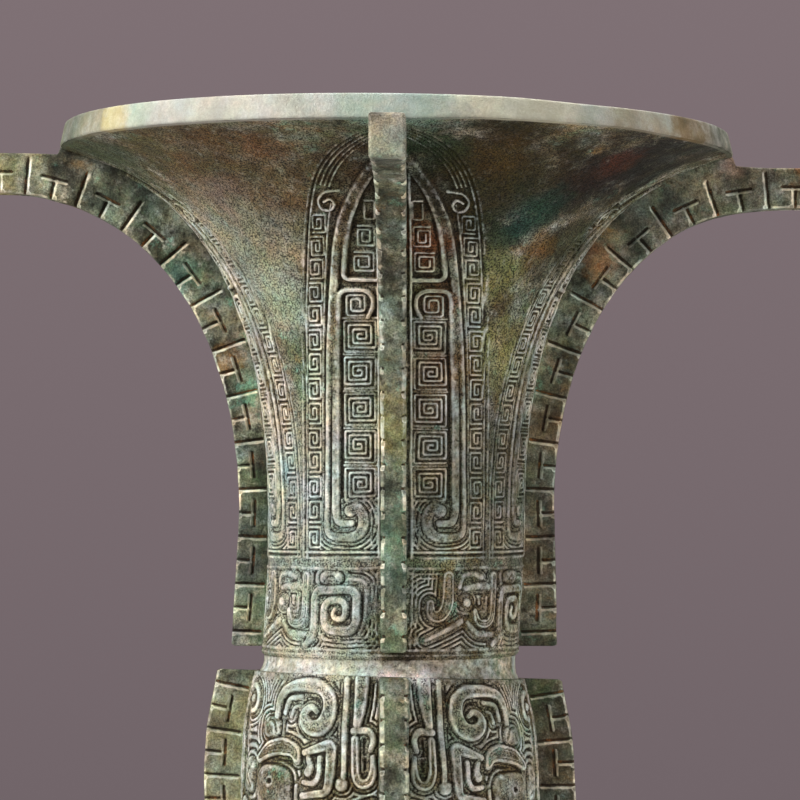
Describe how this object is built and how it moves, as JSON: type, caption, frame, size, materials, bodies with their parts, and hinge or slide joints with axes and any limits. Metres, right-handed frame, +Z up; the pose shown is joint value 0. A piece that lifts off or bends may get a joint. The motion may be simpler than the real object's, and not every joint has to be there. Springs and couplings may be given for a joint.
{
  "type": "bronze zun wine vessel",
  "caption": "Ancient Chinese bronze wine vessel with a trumpet mouth, banded belly and flared foot, and notched flanges that sweep out under the rim.",
  "frame": {"origin": "on the vessel's axis, at the level that the foot stands on", "axes": "+Z up along the vessel's axis, -Y to the front flange, +X to the right flange"},
  "size_m": [0.257, 0.257, 0.3418],
  "materials": {
    "neck_patina": "cast bronze with grey-green patina and dark earth in the relief",
    "belly_patina": "cast bronze with grey-green patina and dark earth in the relief",
    "foot_patina": "cast bronze with grey-green patina and dark earth in the relief",
    "floor_patina": "dull dark bronze, earthy",
    "flange_patina": "cast bronze with green, ochre and rust patches",
    "spacer_bronze": "dull bronze, a little redder than the floor"
  },
  "bodies": {
    "root": {"neck": "neck_patina", "belly": "belly_patina", "vessel_floor": "floor_patina", "foot": "foot_patina", "casting_spacers": "spacer_bronze", "neck_flange_right": "flange_patina", "neck_flange_back": "flange_patina", "neck_flange_left": "flange_patina", "neck_flange_front": "flange_patina", "belly_flange_right": "flange_patina", "belly_flange_back": "flange_patina", "belly_flange_left": "flange_patina", "belly_flange_front": "flange_patina", "foot_flange_right": "flange_patina", "foot_flange_back": "flange_patina", "foot_flange_left": "flange_patina", "foot_flange_front": "flange_patina"}
  },
  "joints": []
}
